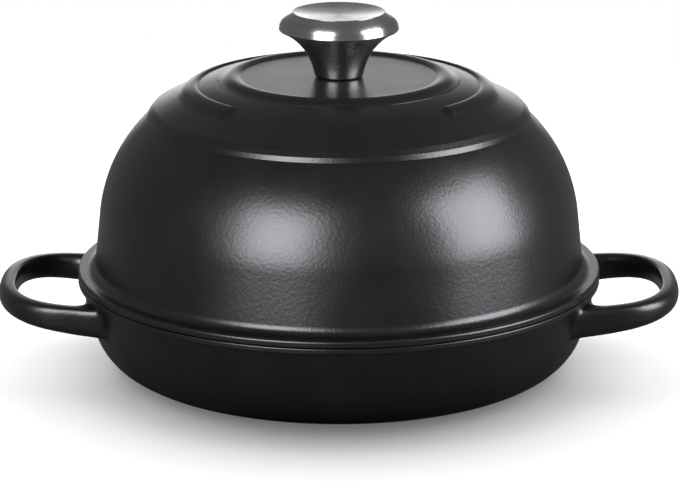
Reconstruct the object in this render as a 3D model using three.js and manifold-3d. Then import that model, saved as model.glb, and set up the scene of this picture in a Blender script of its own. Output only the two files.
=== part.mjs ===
// A cast-iron bread pot: a shallow pan with two loop handles, a tall domed lid that lifts off it,
// and a hollow steel knob held on the lid by one screw from below.
// Millimetres, +Z up. The pot stands on z = 0 with its axis on Z and its handles along X.
import * as THREE from 'three';
import { mergeVertices } from 'three/addons/utils/BufferGeometryUtils.js';
import Module from 'manifold-3d';

const wasm = await Module();
wasm.setup();

// Fit between pieces that touch
const FIT_GAP = 0.3;

// Pan
const RIM_RADIUS = 128; // outside of the rim, which the lid's flange lines up with
const PAN_HEIGHT = 46; // from the floor up to the seat of the lid
const PAN_DRAFT = THREE.MathUtils.degToRad(14.5); // lean of the wall
const BASE_CORNER = 27; // outside rounding between base and wall
const PAN_WALL = 4.5;
const PAN_FLOOR = 5;
const FLOOR_CORNER = 18; // inside rounding between floor and wall
const RIM_BEAD = 0.8; // how far the rim stands out from the wall
const RIM_BEAD_HEIGHT = 3.4;
const RIM_ROUND = 0.6;

// Low rings cast into the pan's floor
const RING_COUNT = 3;
const RING_FIRST_RADIUS = 26;
const RING_PITCH = 22;
const RING_WIDTH = 4;
const RING_HEIGHT = 1.2;

// Loop handles, cast in one with the pan
const HANDLE_REACH = 39; // beyond the rim
const HANDLE_WIDTH = 98; // over the outside of the two legs
const HANDLE_THICK = 8.4; // of the bar, seen from above
const HANDLE_DEPTH = 10.6; // of the bar's tip, seen from the side
const HANDLE_TAPER = 0.09; // growth of that depth for each millimetre towards the pan
const HANDLE_SQUARENESS = 2.6; // exponent of the loop's bend, seen from above
const HANDLE_TILT = THREE.MathUtils.degToRad(6.7); // rise of the loop away from the pan
const HANDLE_DROP = 7.5; // middle of the bar's tip below the rim
const ROOT_FLARE_INSIDE = 22; // widening of each leg where it meets the wall
const ROOT_FLARE_OUTSIDE = 3;
const ROOT_LENGTH = 18; // stretch of leg over which it widens
const BAR_OUTSIDE = [4, 2.4]; // exponents of the halves of the bar's section, at leg and tip
const BAR_INSIDE = [2.5, 4];

// Domed lid
const LID_WALL = 4.2;
const DOME_HEIGHT = 98; // from the lid's seat up to its top disc
const DOME_DRAFT = THREE.MathUtils.degToRad(6.2); // lean of the lower wall
const FLANGE_WIDTH = 7.75; // from the rim in to the dome's wall, at the seat
const FLANGE_THICK = 3.4;
const FLANGE_ROUND = 1.2;
const FLANGE_FILLET = 4.7;
const SHOULDER_ROUND = 75;
const SHOULDER_SLOPE = THREE.MathUtils.degToRad(41);
const SKIRT_DEPTH = 4; // ring that drops inside the pan's rim
const SKIRT_CLEARANCE = 0.8;

// Step round the crown of the lid
const STEP_RADIUS = 93.2; // at its foot
const STEP_DROP = 19.6; // of its foot below the top disc
const STEP_RUN = 0.7;
const STEP_RISE = 2.3;
const STEP_BEVEL_RUN = 2.5; // above the step's upright face
const STEP_BEVEL_RISE = 2.9;
const STEP_ROUND = 0.8;
const STEP_BEVEL_ROUND = 3; // of the crown's edge
const STEP_FOOT_ROUND = 0.5;
const CROWN_OUTER_SLOPE = THREE.MathUtils.degToRad(26.5);
const CROWN_INNER_SLOPE = THREE.MathUtils.degToRad(9);
const CROWN_ROUND = 60;

// Raised bead on the crown, open at the front
const BEAD_RADIUS = 72.7; // at the middle of its foot
const BEAD_WIDTH = 7.8;
const BEAD_INNER_RUN = 1.6;
const BEAD_OUTER_RUN = 5.4;
const BEAD_HEIGHT = 1.8;
const BEAD_OPENING = THREE.MathUtils.degToRad(86);
const BEAD_SINK = 0.8; // depth of its foot in the crown

// Lip round the flat top disc
const LIP_RADIUS = 51.9; // at its crest
const LIP_HEIGHT = 2.1; // of its crest above the disc, before the rounding
const LIP_INNER_RUN = 4.5;
const LIP_OUTER_RUN = 5.1;
const LIP_FOOT_DROP = 1.3; // of its outer foot below the disc
const LIP_ROUND = 6; // of its crest
const LIP_FOOT_ROUND = 9;

// Knob: a spun steel shell with a dished cap in its top
const KNOB_HEIGHT = 31.9;
const KNOB_RADIUS = 29.1; // at the grip's lower edge
const KNOB_SHELL = 1.4; // thickness of shell and cap
const NECK_FOOT_RADIUS = 11.6;
const NECK_FOOT_ROUND = 1.2;
const NECK_SLOPE = THREE.MathUtils.degToRad(75); // of its foot
const FLARE_SLOPE = THREE.MathUtils.degToRad(25); // of its top, under the grip
const NECK_ROUND = 29;
const GRIP_HEIGHT = 8.6; // from the grip's lower edge up to the crest
const GRIP_LOW_ROUND = 0.8;
const GRIP_LEAN = THREE.MathUtils.degToRad(99); // of its side, which leans in
const GRIP_SLOPE = THREE.MathUtils.degToRad(29); // of its top, at the crest
const GRIP_ROUND = 6;
const CAP_RADIUS = 22;
const CAP_DISH = 1.8; // depth of the dish

// Screw, washer and threaded bush of the knob
const SCREW_RADIUS = 3;
const SCREW_HEAD_RADIUS = 6.5;
const SCREW_HEAD_HEIGHT = 3.4;
const SCREW_ENGAGEMENT = 9.5; // length in the bush
const SLOT_WIDTH = 1.4;
const SLOT_DEPTH = 1.7;
const WASHER_RADIUS = 7.6;
const WASHER_THICK = 1.2;
const BUSH_CROWN = 2.5; // closed end of the bush above the screw
const BUSH_CLEARANCE = 0.4; // of the bush in the neck

// Facets
const CHORD_ERROR = 0.15; // of a rounded corner
const POT_SIDES = 48;
const KNOB_SIDES = 32;
const SCREW_SIDES = 20;
const BAR_SIDES = 12;
const BEND_STEPS = 24;
const LEG_STEPS = 5;

// Levels
const LID_SEAT = PAN_HEIGHT + FIT_GAP;
const DISC_LEVEL = LID_SEAT + DOME_HEIGHT;
const DISC_UNDERSIDE = DISC_LEVEL - LID_WALL;
const KNOB_FOOT = DISC_LEVEL + FIT_GAP;
const KNOB_CREST = DISC_LEVEL + KNOB_HEIGHT;

// Materials
const ENAMEL = { color: 0x1f1f20, roughness: 0.42, metalness: 0 };
const STEEL = { color: 0xa3a29f, roughness: 0.32, metalness: 1 };

// Outlines are lists of corners in the half plane of radius r and height z
const corner = (r, z, round = 0) => ({ r, z, round });
const span = (a, b) => Math.hypot(b.r - a.r, b.z - a.z);
const shifted = (p, angle, distance) => corner(
  p.r + distance * Math.cos(angle),
  p.z + distance * Math.sin(angle),
  p.round,
);

// Corner where the line through a at angle u crosses the line through b at angle v
function crossing(a, u, b, v, round = 0) {
  const along = ((b.r - a.r) * Math.sin(v) - (b.z - a.z) * Math.cos(v)) / Math.sin(v - u);
  return corner(a.r + along * Math.cos(u), a.z + along * Math.sin(u), round);
}

// Angle by which the outline turns at b, on its way from a to c
function turning(a, b, c) {
  const into = Math.atan2(b.z - a.z, b.r - a.r);
  const out = Math.atan2(c.z - b.z, c.r - b.r);
  return Math.atan2(Math.sin(out - into), Math.cos(out - into));
}

// Closed outline with its corners rounded. Two roundings that ask for more than the side
// between them has are cut down to share it.
function rounded(corners) {
  const at = (i) => corners[(i + corners.length) % corners.length];
  const turns = corners.map((c, i) => turning(at(i - 1), c, at(i + 1)));
  const wanted = corners.map((c, i) => c.round * Math.tan(Math.abs(turns[i]) / 2));
  const share = (i, j) => Math.min(1, span(at(i), at(j)) / (wanted.at(i) + wanted.at(j) || 1));
  const points = [];
  corners.forEach((c, i) => {
    const after = (i + 1) % corners.length;
    const tangent = wanted[i] * Math.min(share(i - 1, i), share(i, after));
    if (tangent === 0) {
      points.push(new THREE.Vector2(c.r, c.z));
      return;
    }
    const radius = tangent / Math.tan(Math.abs(turns[i]) / 2);
    const into = Math.atan2(c.z - at(i - 1).z, c.r - at(i - 1).r);
    const side = Math.sign(turns[i]);
    const start = shifted(c, into, -tangent);
    const centre = shifted(start, into + side * Math.PI / 2, radius);
    const step = 2 * Math.acos(1 - Math.min(1, CHORD_ERROR / radius));
    const count = Math.max(1, Math.ceil(Math.abs(turns[i]) / step));
    for (let k = 0; k <= count; k += 1) {
      const p = shifted(centre, into - side * Math.PI / 2 + turns[i] * k / count, radius);
      points.push(new THREE.Vector2(p.r, p.z));
    }
  });
  return points;
}

// Highest level of an outline at radius r
function levelAt(outline, r) {
  const levels = outline.map((p, i) => {
    const q = outline[(i + 1) % outline.length];
    const inside = (p.x - r) * (q.x - r) <= 0 && p.x !== q.x;
    return inside ? p.y + (q.y - p.y) * (r - p.x) / (q.x - p.x) : -Infinity;
  });
  return Math.max(...levels);
}

// Closed triangle mesh: shared vertices merged and collapsed triangles dropped
function closed(geometry) {
  geometry.deleteAttribute('normal');
  geometry.deleteAttribute('uv');
  const merged = mergeVertices(geometry);
  const index = merged.getIndex().array;
  const kept = [];
  for (let i = 0; i < index.length; i += 3) {
    const [a, b, c] = index.slice(i, i + 3);
    if (a !== b && b !== c && c !== a) {
      kept.push(a, b, c);
    }
  }
  merged.setIndex(kept);
  return merged;
}

// Solid of revolution about Z. The outline runs anticlockwise, from the axis or round on itself.
function turned(outline, sides) {
  const points = [...outline];
  if (outline[0].x > 0) {
    points.push(outline[0].clone());
  }
  return closed(new THREE.LatheGeometry(points, sides).rotateX(Math.PI / 2));
}

// Closed skin over a row of rings that all have equally many points. Each ring runs
// anticlockwise for someone who looks along the row.
function lofted(rings) {
  const sides = rings[0].length;
  const index = [];
  for (let i = 0; i + 1 < rings.length; i += 1) {
    for (let k = 0; k < sides; k += 1) {
      const a = i * sides + k;
      const b = i * sides + (k + 1) % sides;
      index.push(a, b + sides, b, a, a + sides, b + sides);
    }
  }
  const last = (rings.length - 1) * sides;
  for (let k = 1; k + 1 < sides; k += 1) {
    index.push(0, k, k + 1, last, last + k + 1, last + k);
  }
  const geometry = new THREE.BufferGeometry().setFromPoints(rings.flat());
  geometry.setIndex(index);
  return geometry;
}

// Joining and cutting of closed meshes
function solid(geometry) {
  const vertProperties = Float32Array.from(geometry.getAttribute('position').array);
  const triVerts = Uint32Array.from(geometry.getIndex().array);
  return new wasm.Manifold(new wasm.Mesh({ numProp: 3, vertProperties, triVerts }));
}

function surface(body) {
  const { vertProperties, triVerts } = body.getMesh();
  const geometry = new THREE.BufferGeometry();
  geometry.setAttribute('position', new THREE.BufferAttribute(vertProperties, 3));
  geometry.setIndex(new THREE.BufferAttribute(triVerts, 1));
  return geometry;
}

function piece(name, geometry, finish) {
  geometry.computeVertexNormals();
  const mesh = new THREE.Mesh(geometry, new THREE.MeshStandardMaterial(finish));
  mesh.name = name;
  return mesh;
}

// Pan walls: straight lines that lean out by the draft, outside and inside
const UPRIGHT = Math.PI / 2;
const LEVEL = 0;
const panLean = UPRIGHT - PAN_DRAFT;
const wallTop = corner(RIM_RADIUS - RIM_BEAD, PAN_HEIGHT);
const innerWallTop = shifted(wallTop, panLean + UPRIGHT, PAN_WALL);
const panOuterAt = (z) => crossing(wallTop, panLean, corner(0, z), LEVEL).r;
const panInnerAt = (z) => crossing(innerWallTop, panLean, corner(0, z), LEVEL).r;

// Loop handle on the +X side: two legs that run into the wall, joined by a squarish half ellipse
const signedPower = (value, exponent) => Math.sign(value) * Math.abs(value) ** exponent;

function handleLoop() {
  const bendStart = RIM_RADIUS;
  const bendLength = HANDLE_REACH - HANDLE_THICK / 2;
  const bendWidth = (HANDLE_WIDTH - HANDLE_THICK) / 2;
  const tip = bendStart + bendLength;
  const middleAt = (x) => PAN_HEIGHT - HANDLE_DROP - (tip - x) * Math.tan(HANDLE_TILT);
  const wallAtLeg = Math.sqrt(panOuterAt(middleAt(bendStart)) ** 2 - bendWidth ** 2);
  const pastTheWall = 2 * PAN_WALL;
  const legEnd = wallAtLeg - pastTheWall;
  const stations = [];
  for (let i = 0; i < LEG_STEPS; i += 1) {
    const x = legEnd + (bendStart - legEnd) * i / LEG_STEPS;
    stations.push({ x, y: -bendWidth, heading: 0 });
  }
  for (let i = 0; i <= BEND_STEPS; i += 1) {
    const t = Math.PI * (i / BEND_STEPS - 0.5);
    const bend = 2 / HANDLE_SQUARENESS;
    const forward = bendLength * signedPower(-Math.sin(t), 2 - bend);
    const sideways = bendWidth * Math.abs(Math.cos(t)) ** (2 - bend);
    stations.push({
      x: bendStart + bendLength * Math.abs(Math.cos(t)) ** bend,
      y: bendWidth * signedPower(Math.sin(t), bend),
      heading: Math.atan2(sideways, forward),
    });
  }
  for (let i = LEG_STEPS - 1; i >= 0; i -= 1) {
    stations.push({ ...stations[i], y: bendWidth, heading: Math.PI });
  }
  return lofted(stations.map(({ x, y, heading }) => {
    const rooted = THREE.MathUtils.clamp(1 - (x - wallAtLeg) / ROOT_LENGTH, 0, 1);
    const flared = 1 - Math.sqrt(1 - rooted ** 2);
    const bent = THREE.MathUtils.clamp((x - bendStart) / bendLength, 0, 1);
    const halfDepth = (HANDLE_DEPTH + HANDLE_TAPER * (tip - x)) / 2;
    return Array.from({ length: BAR_SIDES }, (_, k) => {
      const t = 2 * Math.PI * (k + 0.5) / BAR_SIDES;
      const outer = Math.cos(t) > 0;
      const square = 2 / THREE.MathUtils.lerp(...(outer ? BAR_OUTSIDE : BAR_INSIDE), bent);
      const flare = outer ? ROOT_FLARE_OUTSIDE : ROOT_FLARE_INSIDE;
      const across = (HANDLE_THICK / 2 + flare * flared) * signedPower(Math.cos(t), square);
      return new THREE.Vector3(
        x + across * Math.sin(heading),
        y - across * Math.cos(heading),
        middleAt(x) + halfDepth * signedPower(Math.sin(t), square),
      );
    });
  }));
}

// Pan: the outside with both handles, hollowed by its inside with the rings in the floor
function pan() {
  const outside = rounded([
    corner(0, 0),
    corner(panOuterAt(0), 0, BASE_CORNER),
    corner(panOuterAt(PAN_HEIGHT - RIM_BEAD_HEIGHT), PAN_HEIGHT - RIM_BEAD_HEIGHT),
    corner(RIM_RADIUS, PAN_HEIGHT - RIM_BEAD_HEIGHT + RIM_BEAD, RIM_ROUND),
    corner(RIM_RADIUS, PAN_HEIGHT, RIM_ROUND),
    corner(0, PAN_HEIGHT),
  ]);
  const above = PAN_HEIGHT + HANDLE_DEPTH;
  const rings = Array.from({ length: RING_COUNT }, (_, i) => {
    const r = RING_FIRST_RADIUS + i * RING_PITCH;
    const top = PAN_FLOOR + RING_HEIGHT;
    return [
      corner(r - RING_WIDTH / 2, PAN_FLOOR),
      corner(r - RING_WIDTH / 4, top),
      corner(r + RING_WIDTH / 4, top),
      corner(r + RING_WIDTH / 2, PAN_FLOOR),
    ];
  });
  const inside = rounded([
    corner(0, PAN_FLOOR),
    ...rings.flat(),
    corner(panInnerAt(PAN_FLOOR), PAN_FLOOR, FLOOR_CORNER),
    corner(panInnerAt(above), above),
    corner(0, above),
  ]);
  const right = solid(handleLoop());
  const left = solid(handleLoop().rotateZ(Math.PI));
  const block = solid(turned(outside, POT_SIDES)).add(right).add(left);
  return surface(block.subtract(solid(turned(inside, POT_SIDES))));
}

// Lid: straight lines of the dome, from the seat up to the top disc
const domeLean = UPRIGHT + DOME_DRAFT;
const wallFoot = corner(RIM_RADIUS - FLANGE_WIDTH, LID_SEAT);
const stepFoot = corner(STEP_RADIUS, DISC_LEVEL - STEP_DROP, STEP_FOOT_ROUND);
const stepBrow = corner(STEP_RADIUS - STEP_RUN, stepFoot.z + STEP_RISE, STEP_ROUND);
const crownEdge = corner(stepBrow.r - STEP_BEVEL_RUN, stepBrow.z + STEP_BEVEL_RISE, STEP_BEVEL_ROUND);
const lipFoot = corner(LIP_RADIUS + LIP_OUTER_RUN, DISC_LEVEL - LIP_FOOT_DROP, LIP_FOOT_ROUND);
const screwHole = SCREW_RADIUS + FIT_GAP;

function lidOutline() {
  const ledge = LID_SEAT + FLANGE_THICK;
  const skirtFoot = LID_SEAT - SKIRT_DEPTH;
  const innerFoot = shifted(wallFoot, domeLean + UPRIGHT, LID_WALL);
  const innerStep = shifted(stepFoot, UPRIGHT - SHOULDER_SLOPE, -LID_WALL);
  const innerLip = shifted(lipFoot, UPRIGHT - CROWN_INNER_SLOPE, -LID_WALL);
  const underside = corner(0, DISC_UNDERSIDE);
  return rounded([
    corner(crossing(innerFoot, domeLean, corner(0, skirtFoot), LEVEL).r, skirtFoot),
    corner(panInnerAt(skirtFoot) - SKIRT_CLEARANCE, skirtFoot),
    corner(panInnerAt(LID_SEAT) - SKIRT_CLEARANCE, LID_SEAT),
    corner(RIM_RADIUS, LID_SEAT, FLANGE_ROUND / 2),
    corner(RIM_RADIUS, ledge, FLANGE_ROUND),
    crossing(corner(0, ledge), LEVEL, wallFoot, domeLean, FLANGE_FILLET),
    crossing(wallFoot, domeLean, stepFoot, -SHOULDER_SLOPE, SHOULDER_ROUND),
    stepFoot,
    stepBrow,
    crownEdge,
    crossing(crownEdge, -CROWN_OUTER_SLOPE, lipFoot, -CROWN_INNER_SLOPE, CROWN_ROUND),
    lipFoot,
    corner(LIP_RADIUS, DISC_LEVEL + LIP_HEIGHT, LIP_ROUND),
    corner(LIP_RADIUS - LIP_INNER_RUN, DISC_LEVEL),
    corner(screwHole, DISC_LEVEL),
    corner(screwHole, DISC_UNDERSIDE),
    crossing(underside, LEVEL, innerLip, -CROWN_INNER_SLOPE, LID_WALL),
    crossing(innerLip, -CROWN_INNER_SLOPE, innerStep, -SHOULDER_SLOPE, CROWN_ROUND - LID_WALL),
    crossing(innerStep, -SHOULDER_SLOPE, innerFoot, domeLean, SHOULDER_ROUND - LID_WALL),
  ]);
}

// Bead on the crown: it follows the crown's level and stops short on both sides of the front
function crownBead(outline) {
  const inner = BEAD_RADIUS - BEAD_WIDTH / 2;
  const outer = BEAD_RADIUS + BEAD_WIDTH / 2;
  const profile = [
    { r: inner, up: -BEAD_SINK },
    { r: outer, up: -BEAD_SINK },
    { r: outer - BEAD_OUTER_RUN, up: BEAD_HEIGHT },
    { r: inner + BEAD_INNER_RUN, up: BEAD_HEIGHT },
  ];
  const start = (BEAD_OPENING - Math.PI) / 2;
  const sweep = 2 * Math.PI - BEAD_OPENING;
  const steps = Math.ceil(POT_SIDES * sweep / (2 * Math.PI));
  return lofted(Array.from({ length: steps + 1 }, (_, i) => {
    const t = start + sweep * i / steps;
    return profile.map(({ r, up }) => (
      new THREE.Vector3(r * Math.cos(t), r * Math.sin(t), levelAt(outline, r) + up)
    ));
  }));
}

function lid() {
  const outline = lidOutline();
  const shell = solid(turned(outline, POT_SIDES));
  return surface(shell.add(solid(crownBead(outline))));
}

// Knob shell: a narrow neck that flares out to the grip and turns in again to the cap
const angleOf = (a, b) => Math.atan2(b.z - a.z, b.r - a.r);

function knobShell() {
  const foot = corner(NECK_FOOT_RADIUS, KNOB_FOOT, NECK_FOOT_ROUND);
  const edge = corner(KNOB_RADIUS, KNOB_CREST - GRIP_HEIGHT, GRIP_LOW_ROUND);
  const crest = corner(CAP_RADIUS + FIT_GAP, KNOB_CREST);
  const hollow = crossing(foot, NECK_SLOPE, edge, FLARE_SLOPE, NECK_ROUND);
  const grip = crossing(edge, GRIP_LEAN, crest, Math.PI - GRIP_SLOPE, GRIP_ROUND);
  const outside = [foot, hollow, edge, grip, crest];
  const [neck, flare, band, slope] = outside.slice(1).map((end, i) => {
    const angle = angleOf(outside[i], end);
    return { angle, start: shifted(outside[i], angle + UPRIGHT, KNOB_SHELL) };
  });
  const inner = (low, high, round) => crossing(low.start, low.angle, high.start, high.angle, round);
  return rounded([
    crossing(neck.start, neck.angle, foot, LEVEL),
    ...outside,
    crossing(slope.start, slope.angle, crest, UPRIGHT),
    inner(band, slope, GRIP_ROUND - KNOB_SHELL),
    inner(flare, band),
    inner(neck, flare, NECK_ROUND + KNOB_SHELL),
  ]);
}

// Dished cap that closes the shell
function knobCap() {
  const dishRound = (CAP_RADIUS ** 2 + CAP_DISH ** 2) / (2 * CAP_DISH);
  return rounded([
    corner(0, KNOB_CREST - CAP_DISH - KNOB_SHELL),
    corner(CAP_RADIUS / 2, KNOB_CREST - CAP_DISH - KNOB_SHELL, dishRound),
    corner(CAP_RADIUS, KNOB_CREST - KNOB_SHELL),
    corner(CAP_RADIUS, KNOB_CREST),
    corner(CAP_RADIUS / 2, KNOB_CREST - CAP_DISH, dishRound),
    corner(0, KNOB_CREST - CAP_DISH),
  ]);
}

// Threaded bush in the foot of the neck, open below
function knobBush() {
  const top = KNOB_FOOT + SCREW_ENGAGEMENT + BUSH_CROWN;
  const outside = NECK_FOOT_RADIUS - KNOB_SHELL - BUSH_CLEARANCE;
  const bore = SCREW_RADIUS + FIT_GAP;
  return rounded([
    corner(0, KNOB_FOOT + SCREW_ENGAGEMENT + FIT_GAP),
    corner(bore, KNOB_FOOT + SCREW_ENGAGEMENT + FIT_GAP),
    corner(bore, KNOB_FOOT),
    corner(outside, KNOB_FOOT),
    corner(outside, top),
    corner(0, top),
  ]);
}

// Washer and slotted screw, under the lid
const washerTop = DISC_UNDERSIDE - FIT_GAP;
const headTop = washerTop - WASHER_THICK - FIT_GAP;
const headFoot = headTop - SCREW_HEAD_HEIGHT;

function knobWasher() {
  return rounded([
    corner(screwHole, washerTop - WASHER_THICK),
    corner(WASHER_RADIUS, washerTop - WASHER_THICK),
    corner(WASHER_RADIUS, washerTop),
    corner(screwHole, washerTop),
  ]);
}

function knobScrew() {
  const shaft = rounded([
    corner(0, headFoot),
    corner(SCREW_HEAD_RADIUS, headFoot, SCREW_HEAD_HEIGHT / 2),
    corner(SCREW_HEAD_RADIUS, headTop),
    corner(SCREW_RADIUS, headTop),
    corner(SCREW_RADIUS, KNOB_FOOT + SCREW_ENGAGEMENT),
    corner(0, KNOB_FOOT + SCREW_ENGAGEMENT),
  ]);
  const beyondBothEdges = 3 * SCREW_HEAD_RADIUS;
  const slot = new THREE.BoxGeometry(SLOT_WIDTH, beyondBothEdges, 2 * SLOT_DEPTH);
  slot.translate(0, 0, headFoot);
  return surface(solid(turned(shaft, SCREW_SIDES)).subtract(solid(closed(slot))));
}

const group = new THREE.Group();
group.add(piece('base_pan', pan(), ENAMEL));
group.add(piece('dome_lid', lid(), ENAMEL));
group.add(piece('knob_shell', turned(knobShell(), KNOB_SIDES), STEEL));
group.add(piece('knob_cap', turned(knobCap(), KNOB_SIDES), STEEL));
group.add(piece('knob_bush', turned(knobBush(), SCREW_SIDES), STEEL));
group.add(piece('knob_washer', turned(knobWasher(), SCREW_SIDES), STEEL));
group.add(piece('knob_screw', knobScrew(), STEEL));

export default group;
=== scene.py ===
import math

import bpy
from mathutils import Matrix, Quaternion, Vector, noise


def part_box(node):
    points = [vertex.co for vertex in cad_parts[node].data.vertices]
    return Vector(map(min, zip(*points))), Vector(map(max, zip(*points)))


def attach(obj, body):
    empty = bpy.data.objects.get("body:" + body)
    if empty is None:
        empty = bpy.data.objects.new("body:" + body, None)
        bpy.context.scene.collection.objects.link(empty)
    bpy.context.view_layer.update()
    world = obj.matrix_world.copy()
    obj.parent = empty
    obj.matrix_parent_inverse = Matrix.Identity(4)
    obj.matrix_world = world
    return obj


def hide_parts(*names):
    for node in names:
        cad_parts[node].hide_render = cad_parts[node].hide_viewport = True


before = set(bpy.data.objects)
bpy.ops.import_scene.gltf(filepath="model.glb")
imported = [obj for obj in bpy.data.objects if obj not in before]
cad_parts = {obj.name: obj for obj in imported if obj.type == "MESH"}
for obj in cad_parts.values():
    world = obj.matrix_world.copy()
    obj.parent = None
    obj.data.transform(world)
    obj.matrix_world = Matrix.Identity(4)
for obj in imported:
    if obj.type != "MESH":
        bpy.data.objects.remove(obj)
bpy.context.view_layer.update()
scene = bpy.context.scene

# Lengths are in millimetres, times MM where Blender takes metres. Floor and softboxes are in metres
MM = 0.001


def box_mm(node):
    low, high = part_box(node)
    return low / MM, high / MM


# Gap between pieces that touch on the real pot
FIT_GAP = 0.3

# What the frame settles
PAN_HIGH = box_mm("base_pan")[1]
LID_LOW = box_mm("dome_lid")[0]
SHELL_LOW, SHELL_HIGH = box_mm("knob_shell")
CAP_LOW, CAP_HIGH = box_mm("knob_cap")
WASHER_LOW, WASHER_HIGH = box_mm("knob_washer")
SCREW_LOW, SCREW_HIGH = box_mm("knob_screw")
RIM_RADIUS = PAN_HIGH.y
PAN_HEIGHT = PAN_HIGH.z
HANDLE_TIP = PAN_HIGH.x
LID_SEAT = PAN_HEIGHT + FIT_GAP
SKIRT_FOOT = LID_LOW.z
DISC_LEVEL = SHELL_LOW.z - FIT_GAP
DISC_UNDERSIDE = WASHER_HIGH.z + FIT_GAP
KNOB_RADIUS = SHELL_HIGH.x
KNOB_FOOT = SHELL_LOW.z
KNOB_CREST = SHELL_HIGH.z
CREST_RADIUS = CAP_HIGH.x + FIT_GAP

# Pan
PAN_DRAFT = math.radians(14.5)
BASE_CORNER = 27
PAN_WALL = 4.5
PAN_FLOOR = 5
FLOOR_CORNER = 18
RIM_BEAD = 0.8
RIM_BEAD_HEIGHT = 3.4
RIM_ROUND = 0.6
RING_RADII = (26, 48, 70)
RING_WIDTH = 4
RING_HEIGHT = 1.2
RING_ROUND = 1.5

# Loop handles
HANDLE_WIDTH = 98
HANDLE_THICK = 8.4
HANDLE_DEPTH = 10.6
HANDLE_TAPER = 0.09
HANDLE_SQUARENESS = 2.6
HANDLE_TILT = math.radians(6.7)
HANDLE_DROP = 7.5
ROOT_FLARE_INSIDE = 22
ROOT_FLARE_OUTSIDE = 3
ROOT_LENGTH = 18
ROOT_RISE = 1.2
ROOT_SINK = 2.5

# Exponents of the bar's section at its legs and at its tip, and how far inward its crest lies at the tip
BAR_OUTSIDE = (4, 2.4)
BAR_INSIDE = (2.5, 4)
BAR_CREST = 1.8

# Domed lid
LID_WALL = DISC_LEVEL - DISC_UNDERSIDE
DOME_DRAFT = math.radians(6.2)
FLANGE_WIDTH = 7.75
FLANGE_THICK = 3.4
FLANGE_ROUND = 1.2
FLANGE_FILLET = 4.7
SHOULDER_ROUND = 75
SHOULDER_SLOPE = math.radians(41)
SKIRT_CLEARANCE = 0.8
STEP_RADIUS = 93.2
STEP_DROP = 19.6
STEP_RUN = 0.7
STEP_RISE = 2.3
STEP_BEVEL_RUN = 2.5
STEP_BEVEL_RISE = 2.9
STEP_ROUND = 0.8
STEP_BEVEL_ROUND = 3
STEP_FOOT_ROUND = 0.5
CROWN_OUTER_SLOPE = math.radians(26.5)
CROWN_INNER_SLOPE = math.radians(9)
CROWN_ROUND = 60
LIP_RADIUS = 51.9
LIP_HEIGHT = 2.1
LIP_INNER_RUN = 4.5
LIP_OUTER_RUN = 5.1
LIP_FOOT_DROP = 1.3
LIP_ROUND = 6
LIP_FOOT_ROUND = 9

# Bead on the crown, open at the front
BEAD_INNER = 68.8
BEAD_OUTER = 76.6
BEAD_INNER_RUN = 3.4
BEAD_OUTER_RUN = 4.4
BEAD_HEIGHT = 1.8
BEAD_OPENING = math.radians(86)
BEAD_END_RUN = math.radians(3)

# Knob
KNOB_SHELL = 1.4
NECK_FOOT_RADIUS = 11.6
NECK_FOOT_ROUND = 1.2
NECK_SLOPE = math.radians(75)
FLARE_SLOPE = math.radians(25)
NECK_ROUND = 29
GRIP_HEIGHT = 8.6
GRIP_LOW_ROUND = 0.8
GRIP_LEAN = math.radians(99)
GRIP_SLOPE = math.radians(29)
GRIP_ROUND = 6

# What the rounding takes off the grip's lower corner
GRIP_CORNER = 0.15

# Cap, and the share of its dish's sphere that fits as one rounding between rim and middle
CAP_DISH = KNOB_CREST - KNOB_SHELL - CAP_LOW.z
CAP_SEAM = 0.1
DISH_SHARE = 0.9

# Screw, and half the length of its slot's cutter as a share of the head's radius
SCREW_RADIUS = 3
SCREW_HEAD_HEIGHT = 3.4
SLOT_WIDTH = 1.4
SLOT_DEPTH = 1.7
SLOT_REACH = 1.5

# Meshes
CAST_EDGE = 0.5
STEEL_EDGE = 0.2
ARC_STEP = math.radians(6)
SUPPORT = 0.25
SHARP_TANGENT = 0.025
CAST_SPACING = 2
BEAD_SPACING = 0.3
STEEL_SPACING = 1.0
POT_STEPS = 240
KNOB_STEPS = 160
BAR_SIDES = 48
BEND_STEPS = 72
ROOT_STEPS = 16
BEAD_END_STEPS = 8
WAVE_LENGTH = 34 * MM
WAVE_HEIGHT = 0.06 * MM

# Enamel
ENAMEL_DARK = (0.0068, 0.0050, 0.0072)
ENAMEL_LIGHT = (0.0094, 0.0070, 0.0098)
ENAMEL_ROUGHNESS = (0.29, 0.33)
PEBBLE_SIZE = 1.7
PEBBLE_HEIGHT = 0.075
SPECK_SIZE = 0.5
SPECK_HEIGHT = 0.006
CLOUD_SIZE = 18

# Brushed steel
KNOB_SHADES = (0.4, 0.48)
KNOB_ROUGHNESS = 0.24
FASTENER_SHADES = (0.45, 0.55)
FASTENER_ROUGHNESS = 0.3
ROUGHNESS_SPREAD = 0.04
ANISOTROPY = 0.75
ANISOTROPY_TURN = 0.25
LINE_SIZE = 0.25
LINE_DEPTH = 0.0015
LINE_STRETCH = 2
BAND_SIZE = 1.5

# Values between which most of a noise lies
NOISE_SPAN = (0.3, 0.7)

# Floor, and the room as matt and as glossy surfaces see it
FLOOR_RADIUS = 0.7
FLOOR_COLOUR = 0.88
FLOOR_MIRRORED = 0.14
FLOOR_GLOW = 0.13
LIT_FROM = (-0.4, 0.6)
ROOM_LIGHT = (0.145, 3.05)
ROOM_DARK = 0.2
BACKDROP_SIZE = (0.27, 0.315)
BACKDROP_EDGE = (0.8, 1.15)
SOFTBOX_DISTANCE = 1.2
LAMP_COLOUR = (0.94, 0.95, 1.0)

# Softboxes: azimuth and elevation in degrees, width and height in metres, radiance
LEFT_SOFTBOX = (-29, 21, 0.7, 0.76, 13.5)
RIGHT_SOFTBOX = (71, 20, 0.8, 0.9, 12.5)
BACK_SOFTBOX = (180, 6, 0.8, 0.4, 1.3)

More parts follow.
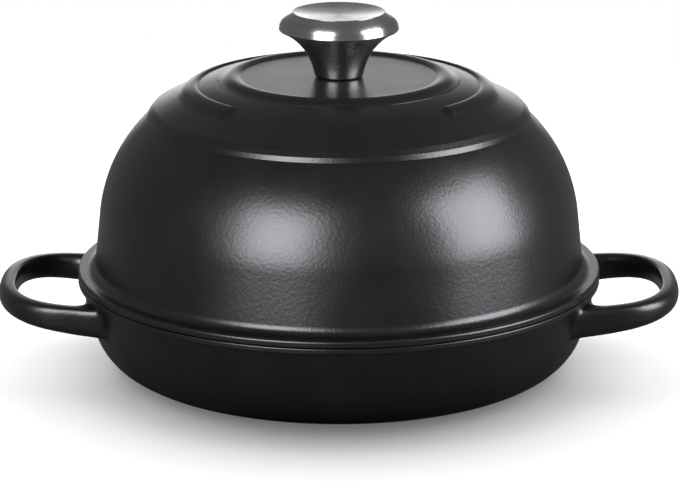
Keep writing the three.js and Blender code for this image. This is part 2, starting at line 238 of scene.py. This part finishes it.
# Camera, fitted to the outlines of the pot
IMAGE_WIDTH = 680
FOCAL_PIXELS = 3406.2
SENSOR = 36
CAMERA_DISTANCE = 1673.6
CAMERA_ELEVATION = 15.96
CAMERA_TARGET = Vector((0.55, 0, 61))

# Angles
UPRIGHT = math.pi / 2
LEVEL = 0
FRONT = -math.pi / 2


# Outlines: lists of corners in the half plane of radius and height, anticlockwise

def corner(r, z, radius=0.0):
    return Vector((r, z)), radius


def shifted(point, angle, distance):
    return point + distance * Vector((math.cos(angle), math.sin(angle)))


def crossing(a, u, b, v):
    """Point where the line through a at angle u crosses the line through b at angle v."""
    across = (b.x - a.x) * math.sin(v) - (b.y - a.y) * math.cos(v)
    return shifted(a, u, across / math.sin(v - u))


def heading(start, end):
    return math.atan2(end.y - start.y, end.x - start.x)


def fillet(before, point, after, radius, longest):
    """Points of the arc that rounds one corner."""
    into = heading(before, point)
    turn = math.remainder(heading(point, after) - into, 2 * math.pi)
    tangent = radius * math.tan(abs(turn) / 2)
    if tangent < SHARP_TANGENT:
        return [point]
    side = math.copysign(UPRIGHT, turn)
    centre = shifted(shifted(point, into, -tangent), into + side, radius)
    steps = max(math.ceil(abs(turn) / ARC_STEP), math.ceil(abs(turn) * radius / longest))
    return [shifted(centre, into - side + turn * k / steps, radius) for k in range(steps + 1)]


def split(start, end, longest):
    """Points from start up to end, close together next to both, so that shading stays flat between."""
    length = (end - start).length
    if length < 4 * SUPPORT:
        return [start]
    pieces = math.ceil((length - 2 * SUPPORT) / longest)
    places = [SUPPORT + (length - 2 * SUPPORT) * k / pieces for k in range(pieces + 1)]
    return [start] + [start.lerp(end, place / length) for place in places]


def rounded(corners, spacing):
    """Closed outline with its corners rounded. spacing gives the longest side near a point."""
    arcs = []
    for i, (point, radius) in enumerate(corners):
        after = corners[(i + 1) % len(corners)][0]
        arcs.append(fillet(corners[i - 1][0], point, after, radius, spacing(point)))
    outline = []
    for arc, next_arc in zip(arcs, arcs[1:] + arcs[:1]):
        start, end = arc[-1], next_arc[0]
        on_axis = start.x == 0 and end.x == 0
        outline += arc[:-1]
        outline += [start] if on_axis else split(start, end, spacing((start + end) / 2))
    return outline


# Meshes

def new_object(name, vertices, faces):
    mesh = bpy.data.meshes.new(name)
    mesh.from_pydata([vertex * MM for vertex in vertices], [], faces)
    mesh.shade_smooth()
    made = bpy.data.objects.new(name, mesh)
    scene.collection.objects.link(made)
    return made


def even_angles(count):
    return [2 * math.pi * k / count for k in range(count)]


def revolved(name, outline_at, angles):
    """Surface of revolution about Z. outline_at gives equally many points at every angle."""
    vertices = []
    rows = []
    poles = {}
    for angle in angles:
        row = []
        for j, point in enumerate(outline_at(angle)):
            if point.x == 0:
                row.append(poles.setdefault(j, len(vertices)))
            else:
                row.append(len(vertices))
            if row[-1] == len(vertices):
                vertices.append(Vector((
                    point.x * math.cos(angle), point.x * math.sin(angle), point.y)))
        rows.append(row)
    faces = []
    for here, there in zip(rows, rows[1:] + rows[:1]):
        for j in range(len(here)):
            k = (j + 1) % len(here)
            ring = [here[j], there[j], there[k], here[k]]
            face = [v for i, v in enumerate(ring) if v != ring[i - 1]]
            if len(face) > 2:
                faces.append(face)
    return new_object(name, vertices, faces)


def turned(name, corners, spacing, steps):
    outline = rounded(corners, lambda point: spacing)
    return revolved(name, lambda angle: outline, even_angles(steps))


def lofted(name, rings):
    """Closed skin over a row of rings, each anticlockwise for someone who looks along the row."""
    sides = len(rings[0])
    faces = []
    for i in range(len(rings) - 1):
        for k in range(sides):
            a = i * sides + k
            b = i * sides + (k + 1) % sides
            faces.append([a, a + sides, b + sides, b])
    last = (len(rings) - 1) * sides
    faces.append(list(range(sides)))
    faces.append([last + k for k in reversed(range(sides))])
    return new_object(name, [vertex for ring in rings for vertex in ring], faces)


def combined(target, tools, operation):
    """target joined with the tools or cut by them, which are used up."""
    for tool in tools:
        modifier = target.modifiers.new(tool.name, "BOOLEAN")
        modifier.operation = operation
        modifier.solver = "MANIFOLD"
        modifier.object = tool
    bpy.context.view_layer.update()
    evaluated = target.evaluated_get(bpy.context.evaluated_depsgraph_get())
    mesh = bpy.data.meshes.new_from_object(evaluated)
    target.modifiers.clear()
    target.data = mesh
    mesh.shade_smooth()
    for tool in tools:
        bpy.data.objects.remove(tool)
    return target


def cast(piece):
    """The slight unevenness of a sand casting."""
    normals = [vertex.normal.copy() for vertex in piece.data.vertices]
    for vertex, normal in zip(piece.data.vertices, normals):
        vertex.co += WAVE_HEIGHT * noise.noise(vertex.co / WAVE_LENGTH) * normal
    return piece


def place(piece, body, slot, material, *nodes):
    piece.data.materials.clear()
    piece.data.materials.append(material)
    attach(piece, body)
    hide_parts(*nodes)


# Pan

WALL_TOP = Vector((RIM_RADIUS - RIM_BEAD, PAN_HEIGHT))
PAN_LEAN = UPRIGHT - PAN_DRAFT
INNER_WALL_TOP = shifted(WALL_TOP, PAN_LEAN + UPRIGHT, PAN_WALL)


def pan_outer(z):
    return crossing(WALL_TOP, PAN_LEAN, Vector((0, z)), LEVEL).x


def pan_inner(z):
    return crossing(INNER_WALL_TOP, PAN_LEAN, Vector((0, z)), LEVEL).x


def floor_rings():
    """Low rings in the floor of the pan, from the outermost to the innermost."""
    corners = []
    for radius in reversed(RING_RADII):
        corners += [
            corner(radius + RING_WIDTH / 2, PAN_FLOOR, RING_ROUND),
            corner(radius + RING_WIDTH / 4, PAN_FLOOR + RING_HEIGHT, RING_ROUND / 2),
            corner(radius - RING_WIDTH / 4, PAN_FLOOR + RING_HEIGHT, RING_ROUND / 2),
            corner(radius - RING_WIDTH / 2, PAN_FLOOR, RING_ROUND),
        ]
    return corners


def pan_bowl():
    bead_foot = PAN_HEIGHT - RIM_BEAD_HEIGHT
    corners = [
        corner(0, 0),
        corner(pan_outer(0), 0, BASE_CORNER),
        corner(pan_outer(bead_foot), bead_foot, RIM_ROUND),
        corner(RIM_RADIUS, bead_foot + RIM_BEAD, RIM_ROUND),
        corner(RIM_RADIUS, PAN_HEIGHT, RIM_ROUND),
        corner(pan_inner(PAN_HEIGHT), PAN_HEIGHT, RIM_ROUND),
        corner(pan_inner(PAN_FLOOR), PAN_FLOOR, FLOOR_CORNER),
        *floor_rings(),
        corner(0, PAN_FLOOR),
    ]
    return turned("pan_body", corners, CAST_SPACING, POT_STEPS)


# Loop handles

BEND_START = RIM_RADIUS
BEND_LENGTH = HANDLE_TIP - HANDLE_THICK / 2 - BEND_START
BEND_WIDTH = (HANDLE_WIDTH - HANDLE_THICK) / 2
TIP_LEVEL = PAN_HEIGHT - HANDLE_DROP


def bar_middle(x):
    """Level of the middle of a handle's bar."""
    return TIP_LEVEL - (BEND_START + BEND_LENGTH - x) * math.tan(HANDLE_TILT)


def wall_x(y, z):
    """Where the outside of the pan's wall lies, beyond a point y, z."""
    return math.sqrt(pan_outer(z) ** 2 - y ** 2)


ROOT_WALL = wall_x(BEND_WIDTH, bar_middle(BEND_START))


def smooth(share):
    share = min(1, max(0, share))
    return share * share * (3 - 2 * share)


def signed_power(value, exponent):
    return math.copysign(abs(value) ** exponent, value)


def section(x):
    """Rounded section of the bar at a distance x, as (across, up)."""
    rooted = min(1, max(0, 1 - (x - ROOT_WALL) / ROOT_LENGTH))
    flared = 1 - math.sqrt(1 - rooted ** 2)
    bent = min(1, max(0, (x - BEND_START) / BEND_LENGTH))
    tapered = HANDLE_DEPTH + HANDLE_TAPER * (BEND_START + BEND_LENGTH - x)
    half_depth = tapered / 2 + ROOT_RISE * flared ** 2
    inward = BAR_CREST * bent
    points = []
    for t in even_angles(BAR_SIDES):
        outer = math.cos(t) > 0
        at_leg, at_tip = BAR_OUTSIDE if outer else BAR_INSIDE
        square = 2 / (at_leg + (at_tip - at_leg) * bent)
        widening = ROOT_FLARE_OUTSIDE if outer else ROOT_FLARE_INSIDE
        reach = inward if outer else -inward
        half_thick = HANDLE_THICK / 2 + widening * flared + reach
        points.append((
            half_thick * signed_power(math.cos(t), square) - inward,
            half_depth * signed_power(math.sin(t), square)))
    return points


def root_ring(distance):
    """Section of the leg on the -y side, so far out from the wall, widened to run into it."""
    blend = smooth(distance / (BEND_START - ROOT_WALL))
    ring = []
    for across, up in section(ROOT_WALL + distance):
        y = -BEND_WIDTH - across
        z = bar_middle(ROOT_WALL + distance) + up
        x = wall_x(y, z) * (1 - blend) + ROOT_WALL * blend + distance
        ring.append(Vector((x, y, z)))
    return ring


def bend_ring(angle):
    """Section of the bend, square to its squarish half ellipse."""
    bend = 2 / HANDLE_SQUARENESS
    x = BEND_START + BEND_LENGTH * abs(math.cos(angle)) ** bend
    y = BEND_WIDTH * signed_power(math.sin(angle), bend)
    along = Vector((
        -BEND_LENGTH * signed_power(math.sin(angle), 2 - bend),
        BEND_WIDTH * abs(math.cos(angle)) ** (2 - bend))).normalized()
    return [
        Vector((x + across * along.y, y - across * along.x, bar_middle(x) + up))
        for across, up in section(x)]


def mirrored(ring):
    """The same section of the leg on the +y side."""
    return [Vector((point.x, -point.y, point.z)) for point in ring]


def handle(name, turn):
    length = BEND_START - ROOT_WALL
    steps = [length * (1 - math.cos(UPRIGHT * k / ROOT_STEPS)) for k in range(ROOT_STEPS)]
    legs = [root_ring(distance) for distance in [-ROOT_SINK, *steps]]
    bends = [bend_ring(math.pi * (k / BEND_STEPS - 0.5)) for k in range(BEND_STEPS + 1)]
    rings = legs + bends + [mirrored(ring) for ring in reversed(legs)]
    spin = Quaternion((0, 0, 1), turn)
    return lofted(name, [[spin @ point for point in ring] for ring in rings])


def pan(material):
    handles = [handle("right_handle", 0), handle("left_handle", math.pi)]
    piece = cast(combined(pan_bowl(), handles, "UNION"))
    place(piece, "pan", "pan_enamel", material, "base_pan")


# Lid

DOME_LEAN = UPRIGHT + DOME_DRAFT
WALL_FOOT = Vector((RIM_RADIUS - FLANGE_WIDTH, LID_SEAT))
STEP_FOOT = Vector((STEP_RADIUS, DISC_LEVEL - STEP_DROP))
STEP_BROW = STEP_FOOT + Vector((-STEP_RUN, STEP_RISE))
CROWN_EDGE = STEP_BROW + Vector((-STEP_BEVEL_RUN, STEP_BEVEL_RISE))
LIP_FOOT = Vector((LIP_RADIUS + LIP_OUTER_RUN, DISC_LEVEL - LIP_FOOT_DROP))
SCREW_HOLE = SCREW_RADIUS + FIT_GAP


def lid_outside():
    ledge = LID_SEAT + FLANGE_THICK
    return [
        corner(RIM_RADIUS, LID_SEAT, FLANGE_ROUND / 2),
        corner(RIM_RADIUS, ledge, FLANGE_ROUND),
        (crossing(Vector((0, ledge)), LEVEL, WALL_FOOT, DOME_LEAN), FLANGE_FILLET),
        (crossing(WALL_FOOT, DOME_LEAN, STEP_FOOT, -SHOULDER_SLOPE), SHOULDER_ROUND),
        (STEP_FOOT, STEP_FOOT_ROUND),
        (STEP_BROW, STEP_ROUND),
        (CROWN_EDGE, STEP_BEVEL_ROUND),
        (crossing(CROWN_EDGE, -CROWN_OUTER_SLOPE, LIP_FOOT, -CROWN_INNER_SLOPE), CROWN_ROUND),
        (LIP_FOOT, LIP_FOOT_ROUND),
        corner(LIP_RADIUS, DISC_LEVEL + LIP_HEIGHT, LIP_ROUND),
        corner(LIP_RADIUS - LIP_INNER_RUN, DISC_LEVEL, CAST_EDGE),
        corner(SCREW_HOLE, DISC_LEVEL),
    ]


def lid_inside():
    inner_foot = shifted(WALL_FOOT, DOME_LEAN + UPRIGHT, LID_WALL)
    inner_step = shifted(STEP_FOOT, UPRIGHT - SHOULDER_SLOPE, -LID_WALL)
    inner_lip = shifted(LIP_FOOT, UPRIGHT - CROWN_INNER_SLOPE, -LID_WALL)
    skirt = Vector((0, SKIRT_FOOT))
    return [
        corner(SCREW_HOLE, DISC_UNDERSIDE),
        (crossing(Vector((0, DISC_UNDERSIDE)), LEVEL, inner_lip, -CROWN_INNER_SLOPE), LID_WALL),
        (crossing(inner_lip, -CROWN_INNER_SLOPE, inner_step, -SHOULDER_SLOPE), CROWN_ROUND - LID_WALL),
        (crossing(inner_step, -SHOULDER_SLOPE, inner_foot, DOME_LEAN), SHOULDER_ROUND - LID_WALL),
        (crossing(inner_foot, DOME_LEAN, skirt, LEVEL), CAST_EDGE),
        corner(pan_inner(SKIRT_FOOT) - SKIRT_CLEARANCE, SKIRT_FOOT, CAST_EDGE),
        corner(pan_inner(LID_SEAT) - SKIRT_CLEARANCE, LID_SEAT, CAST_EDGE),
    ]


def bulge(share):
    """Quarter of an ellipse: steep at 0, level at 1."""
    return math.sqrt(1 - (1 - min(1, share)) ** 2)


def bead_base(r):
    """Level half-way through the wall of the crown, under the bead."""
    return CROWN_EDGE.y + (CROWN_EDGE.x - r) * math.tan(CROWN_OUTER_SLOPE) - LID_WALL / 2


def on_bead(point):
    """True for a point of the crown's outside that the bead may lift."""
    return BEAD_INNER < point.x < BEAD_OUTER and point.y > bead_base(point.x)


def bead_lift(point):
    if not on_bead(point):
        return 0
    inner = bulge((point.x - BEAD_INNER) / BEAD_INNER_RUN)
    outer = bulge((BEAD_OUTER - point.x) / BEAD_OUTER_RUN)
    return BEAD_HEIGHT * inner * outer


def bead_share(angle):
    """1 along the bead, 0 in its opening at the front."""
    from_front = abs(math.remainder(angle - FRONT, 2 * math.pi))
    return smooth((from_front - BEAD_OPENING / 2) / BEAD_END_RUN)


def lid_angles():
    """Even steps round the lid, and fine ones across both ends of the bead."""
    fine = [BEAD_OPENING / 2 + BEAD_END_RUN * k / BEAD_END_STEPS for k in range(BEAD_END_STEPS + 1)]
    ends = [FRONT + side * step for side in (-1, 1) for step in fine]
    return sorted(angle % (2 * math.pi) for angle in even_angles(POT_STEPS) + ends)


def lid_spacing(point):
    margin = CAST_SPACING
    near_bead = BEAD_INNER - margin < point.x < BEAD_OUTER + margin
    return BEAD_SPACING if near_bead and point.y > CROWN_EDGE.y else CAST_SPACING


def lid(material):
    plain = rounded(lid_outside() + lid_inside(), lid_spacing)
    lifts = [bead_lift(point) for point in plain]

    def outline_at(angle):
        share = bead_share(angle)
        return [point + Vector((0, share * lift)) for point, lift in zip(plain, lifts)]

    piece = cast(revolved("lid_body", outline_at, lid_angles()))
    place(piece, "lid", "lid_enamel", material, "dome_lid")


# Knob and its screw

def knob_outside():
    """Corners of the knob's outside: its foot, the hollow of its neck, its edge, its grip, its crest."""
    foot = Vector((NECK_FOOT_RADIUS, KNOB_FOOT))
    edge = Vector((KNOB_RADIUS + GRIP_CORNER, KNOB_CREST - GRIP_HEIGHT))
    crest = Vector((CREST_RADIUS, KNOB_CREST))
    hollow = crossing(foot, NECK_SLOPE, edge, FLARE_SLOPE)
    grip = crossing(edge, GRIP_LEAN, crest, math.pi - GRIP_SLOPE)
    return [foot, hollow, edge, grip, crest]


def knob_shell(material):
    foot, hollow, edge, grip, crest = outside = knob_outside()
    sides = []
    for start, end in zip(outside, outside[1:]):
        angle = heading(start, end)
        sides.append((shifted(start, angle + UPRIGHT, KNOB_SHELL), angle))
    neck, flare, band, slope = sides
    corners = [
        (crossing(*neck, foot, LEVEL), STEEL_EDGE),
        (foot, NECK_FOOT_ROUND),
        (hollow, NECK_ROUND),
        (edge, GRIP_LOW_ROUND),
        (grip, GRIP_ROUND),
        (crest, STEEL_EDGE),
        (crossing(*slope, crest, UPRIGHT), STEEL_EDGE),
        (crossing(*band, *slope), GRIP_ROUND - KNOB_SHELL),
        (crossing(*flare, *band), STEEL_EDGE),
        (crossing(*neck, *flare), NECK_ROUND),
    ]
    piece = turned("knob_body", corners, STEEL_SPACING, KNOB_STEPS)
    place(piece, "lid", "knob_steel", material, "knob_shell")


def knob_cap(material):
    rim = CREST_RADIUS - CAP_SEAM
    dish_round = DISH_SHARE * (rim ** 2 + CAP_DISH ** 2) / (2 * CAP_DISH)
    corners = [
        corner(0, KNOB_CREST - CAP_DISH - KNOB_SHELL),
        corner(rim / 2, KNOB_CREST - CAP_DISH - KNOB_SHELL, dish_round),
        corner(rim, KNOB_CREST - KNOB_SHELL, STEEL_EDGE),
        corner(rim, KNOB_CREST, STEEL_EDGE),
        corner(rim / 2, KNOB_CREST - CAP_DISH, dish_round),
        corner(0, KNOB_CREST - CAP_DISH),
    ]
    piece = turned("knob_dish", corners, STEEL_SPACING, KNOB_STEPS)
    place(piece, "lid", "knob_steel", material, "knob_cap")


def knob_washer(material):
    corners = [
        corner(SCREW_HOLE, WASHER_LOW.z, STEEL_EDGE),
        corner(WASHER_HIGH.x, WASHER_LOW.z, STEEL_EDGE),
        corner(WASHER_HIGH.x, WASHER_HIGH.z, STEEL_EDGE),
        corner(SCREW_HOLE, WASHER_HIGH.z, STEEL_EDGE),
    ]
    piece = turned("washer_ring", corners, STEEL_SPACING, KNOB_STEPS)
    place(piece, "lid", "fastener_steel", material, "knob_washer")


def slot_cutter():
    half = Vector((SLOT_WIDTH / 2, SLOT_REACH * SCREW_HIGH.x))
    rings = [
        [Vector((half.x * side, half.y * end, SCREW_LOW.z + SLOT_DEPTH * up))
         for side, up in ((1, -1), (1, 1), (-1, 1), (-1, -1))]
        for end in (1, -1)]
    return lofted("slot_cutter", rings)


def knob_screw(material):
    head_top = SCREW_LOW.z + SCREW_HEAD_HEIGHT
    corners = [
        corner(0, SCREW_LOW.z),
        corner(SCREW_HIGH.x, SCREW_LOW.z, SCREW_HEAD_HEIGHT / 2),
        corner(SCREW_HIGH.x, head_top, STEEL_EDGE),
        corner(SCREW_RADIUS, head_top, STEEL_EDGE),
        corner(SCREW_RADIUS, SCREW_HIGH.z, STEEL_EDGE),
        corner(0, SCREW_HIGH.z),
    ]
    piece = turned("screw_body", corners, STEEL_SPACING, KNOB_STEPS)
    piece = combined(piece, [slot_cutter()], "DIFFERENCE")
    place(piece, "lid", "fastener_steel", material, "knob_screw")


def knob_bush(material):
    """The bush is out of sight inside the neck, so it keeps the mesh of the frame."""
    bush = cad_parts["knob_bush"]
    bush.data.materials.clear()
    bush.data.materials.append(material)


# Materials

def new_material(name):
    material = bpy.data.materials.new(name)
    material.use_nodes = True
    tree = material.node_tree
    return material, tree, tree.nodes["Principled BSDF"]


def add_node(tree, kind, inputs=(), **settings):
    node = tree.nodes.new(kind)
    for key, value in settings.items():
        setattr(node, key, value)
    for key, value in dict(inputs).items():
        if isinstance(value, bpy.types.NodeSocket):
            tree.links.new(value, node.inputs[key])
        else:
            node.inputs[key].default_value = value
    return node


def grain(tree, vector, cell, detail):
    """Noise whose lumps are cell millimetres across."""
    inputs = {"Vector": vector, "Scale": 1 / (cell * MM), "Detail": detail}
    return add_node(tree, "ShaderNodeTexNoise", inputs).outputs["Fac"]


def ranged(tree, value, low, high):
    inputs = {"Value": value, "From Min": NOISE_SPAN[0], "From Max": NOISE_SPAN[1],
              "To Min": low, "To Max": high}
    return add_node(tree, "ShaderNodeMapRange", inputs).outputs["Result"]


def tinted(tree, value, dark, light):
    ramp = add_node(tree, "ShaderNodeValToRGB", {"Fac": value})
    for element, colour, position in zip(ramp.color_ramp.elements, (dark, light), NOISE_SPAN):
        element.color = (*colour, 1)
        element.position = position
    return ramp.outputs["Color"]


def bumped(tree, heights):
    """Bumps in a row: pairs of height in millimetres and the pattern that it goes with."""
    normal = None
    for height, pattern in heights:
        inputs = {"Strength": 1, "Distance": height * MM, "Height": pattern}
        if normal:
            inputs["Normal"] = normal
        normal = add_node(tree, "ShaderNodeBump", inputs).outputs["Normal"]
    return normal


def enamel(name):
    """Satin black enamel over a pebbled casting."""
    material, tree, shader = new_material(name)
    place_on = add_node(tree, "ShaderNodeTexCoord").outputs["Object"]
    pebbles = grain(tree, place_on, PEBBLE_SIZE, detail=2)
    specks = grain(tree, place_on, SPECK_SIZE, detail=1)
    clouds = grain(tree, place_on, CLOUD_SIZE, detail=3)
    colour = tinted(tree, clouds, ENAMEL_DARK, ENAMEL_LIGHT)
    bumps = bumped(tree, ((PEBBLE_HEIGHT, pebbles), (SPECK_HEIGHT, specks)))
    tree.links.new(colour, shader.inputs["Base Color"])
    tree.links.new(ranged(tree, clouds, *ENAMEL_ROUGHNESS), shader.inputs["Roughness"])
    tree.links.new(bumps, shader.inputs["Normal"])
    return material


def round_the_axis(tree, stretch):
    """Coordinates that vary quickly with radius and height and slowly round the axis."""
    place_on = add_node(tree, "ShaderNodeTexCoord").outputs["Object"]
    flat = add_node(
        tree, "ShaderNodeVectorMath", {0: place_on, 1: (1, 1, 0)}, operation="MULTIPLY")
    radius = add_node(tree, "ShaderNodeVectorMath", {0: flat.outputs[0]}, operation="LENGTH")
    spot = add_node(tree, "ShaderNodeSeparateXYZ", {0: place_on})
    angle = add_node(
        tree, "ShaderNodeMath", {0: spot.outputs["Y"], 1: spot.outputs["X"]}, operation="ARCTAN2")
    slow = add_node(tree, "ShaderNodeMath", {0: angle.outputs[0], 1: stretch}, operation="MULTIPLY")
    joined = add_node(tree, "ShaderNodeCombineXYZ", {
        "X": radius.outputs["Value"], "Y": spot.outputs["Z"], "Z": slow.outputs[0]})
    return joined.outputs[0]


def brushed_steel(name, shades, roughness):
    """Stainless steel, brushed in circles round the axis."""
    material, tree, shader = new_material(name)
    dark, light = [(shade, shade, shade) for shade in shades]
    place_on = round_the_axis(tree, LINE_STRETCH * MM)
    lines = grain(tree, place_on, LINE_SIZE, detail=2)
    bands = grain(tree, place_on, BAND_SIZE, detail=2)
    shader.inputs["Metallic"].default_value = 1
    shader.inputs["Anisotropic"].default_value = ANISOTROPY
    shader.inputs["Anisotropic Rotation"].default_value = ANISOTROPY_TURN
    tangent = add_node(tree, "ShaderNodeTangent", direction_type="RADIAL", axis="Z")
    tree.links.new(tangent.outputs[0], shader.inputs["Tangent"])
    tree.links.new(tinted(tree, bands, dark, light), shader.inputs["Base Color"])
    rough = ranged(tree, lines, roughness - ROUGHNESS_SPREAD, roughness + ROUGHNESS_SPREAD)
    tree.links.new(rough, shader.inputs["Roughness"])
    tree.links.new(bumped(tree, ((LINE_DEPTH, lines),)), shader.inputs["Normal"])
    return material


# Studio

def ray_is(tree, *kinds):
    """1 for a ray of one of these kinds, else 0."""
    path = add_node(tree, "ShaderNodeLightPath")
    total = path.outputs[kinds[0]]
    for kind in kinds[1:]:
        total = add_node(
            tree, "ShaderNodeMath", {0: total, 1: path.outputs[kind]}, operation="MAXIMUM").outputs[0]
    return total


def mirrored_room(tree):
    """Brightness that the room shows in reflections: a white backdrop, low behind the pot."""
    direction = add_node(tree, "ShaderNodeTexCoord").outputs["Generated"]
    spot = add_node(tree, "ShaderNodeSeparateXYZ", {0: direction})
    behind = add_node(tree, "ShaderNodeMapRange", {"Value": spot.outputs["Y"]})
    across = (1 / BACKDROP_SIZE[0], 0, 1 / BACKDROP_SIZE[1])
    scaled = add_node(
        tree, "ShaderNodeVectorMath", {0: direction, 1: across}, operation="MULTIPLY")
    length = add_node(tree, "ShaderNodeVectorMath", {0: scaled.outputs[0]}, operation="LENGTH")
    inside = add_node(tree, "ShaderNodeMapRange", {
        "Value": length.outputs["Value"], "From Min": BACKDROP_EDGE[0], "From Max": BACKDROP_EDGE[1],
        "To Min": 1, "To Max": 0}, interpolation_type="SMOOTHSTEP")
    both = add_node(
        tree, "ShaderNodeMath", {0: behind.outputs[0], 1: inside.outputs[0]}, operation="MULTIPLY")
    return add_node(tree, "ShaderNodeMapRange", {
        "Value": both.outputs[0], "To Min": ROOM_DARK, "To Max": 1}).outputs[0]


def lit_room(tree):
    """Light that the room gives to matt surfaces: most of it comes from behind the pot."""
    direction = add_node(tree, "ShaderNodeTexCoord").outputs["Generated"]
    spot = add_node(tree, "ShaderNodeSeparateXYZ", {0: direction})
    return add_node(tree, "ShaderNodeMapRange", {
        "Value": spot.outputs["Y"], "From Min": LIT_FROM[0], "From Max": LIT_FROM[1],
        "To Min": ROOM_LIGHT[0], "To Max": ROOM_LIGHT[1]}).outputs[0]


def chosen(tree, which, no, yes):
    """no where which is 0, yes where it is 1."""
    return add_node(
        tree, "ShaderNodeMapRange", {"Value": which, "To Min": no, "To Max": yes}).outputs[0]


def room():
    world = bpy.data.worlds.new("room")
    scene.world = world
    world.use_nodes = True
    world.cycles.sampling_method = "NONE"
    tree = world.node_tree
    glossy = ray_is(tree, "Is Glossy Ray", "Is Transmission Ray")
    strength = chosen(tree, glossy, lit_room(tree), mirrored_room(tree))
    strength = chosen(tree, ray_is(tree, "Is Camera Ray"), strength, 1)
    tree.links.new(strength, tree.nodes["Background"].inputs["Strength"])
    tree.nodes["Background"].inputs["Color"].default_value = (1, 1, 1, 1)


def floor():
    rim = [Vector((math.cos(a), math.sin(a), 0)) * FLOOR_RADIUS / MM for a in even_angles(POT_STEPS)]
    piece = new_object("floor", rim, [list(range(POT_STEPS))])
    material, tree, shader = new_material("floor_white")
    shader.inputs["Roughness"].default_value = 1
    shader.inputs["Specular IOR Level"].default_value = 0
    glossy = ray_is(tree, "Is Glossy Ray")
    tree.links.new(chosen(tree, glossy, FLOOR_COLOUR, FLOOR_MIRRORED), shader.inputs["Base Color"])
    shader.inputs["Emission Color"].default_value = (1, 1, 1, 1)
    seen = ray_is(tree, "Is Camera Ray")
    tree.links.new(chosen(tree, seen, 0, FLOOR_GLOW), shader.inputs["Emission Strength"])
    material.cycles.emission_sampling = "NONE"
    piece.data.materials.append(material)


def towards(azimuth, elevation):
    """Direction from the pot, with azimuth 0 to the front and 90 degrees to the right."""
    a, e = math.radians(azimuth), math.radians(elevation)
    return Vector((math.sin(a) * math.cos(e), -math.cos(a) * math.cos(e), math.sin(e)))


def softbox(name, azimuth, elevation, width, height, radiance):
    lamp = bpy.data.lights.new(name, "AREA")
    lamp.shape = "RECTANGLE"
    lamp.size = width
    lamp.size_y = height
    lamp.color = LAMP_COLOUR
    lamp.energy = radiance * math.pi * width * height
    stand = bpy.data.objects.new(name, lamp)
    direction = towards(azimuth, elevation)
    stand.location = direction * SOFTBOX_DISTANCE + Vector((0, 0, LID_SEAT * MM))
    stand.rotation_euler = direction.to_track_quat("Z", "Y").to_euler()
    stand.visible_camera = False
    stand.visible_diffuse = False
    scene.collection.objects.link(stand)


def lights():
    softbox("left_softbox", *LEFT_SOFTBOX)
    softbox("right_softbox", *RIGHT_SOFTBOX)
    softbox("back_softbox", *BACK_SOFTBOX)


# Camera

def camera():
    data = bpy.data.cameras.new("camera")
    data.sensor_width = SENSOR
    data.lens = FOCAL_PIXELS * SENSOR / IMAGE_WIDTH
    made = bpy.data.objects.new("camera", data)
    direction = towards(0, CAMERA_ELEVATION)
    made.location = (CAMERA_TARGET + direction * CAMERA_DISTANCE) * MM
    made.rotation_euler = direction.to_track_quat("Z", "Y").to_euler()
    scene.collection.objects.link(made)
    scene.camera = made


def build():
    scene.view_settings.view_transform = "Standard"
    camera()
    room()
    floor()
    lights()
    pan(enamel("pan_enamel"))
    lid(enamel("lid_enamel"))
    knob = brushed_steel("knob_steel", KNOB_SHADES, KNOB_ROUGHNESS)
    fasteners = brushed_steel("fastener_steel", FASTENER_SHADES, FASTENER_ROUGHNESS)
    knob_shell(knob)
    knob_cap(knob)
    knob_washer(fasteners)
    knob_screw(fasteners)
    knob_bush(fasteners)


build()
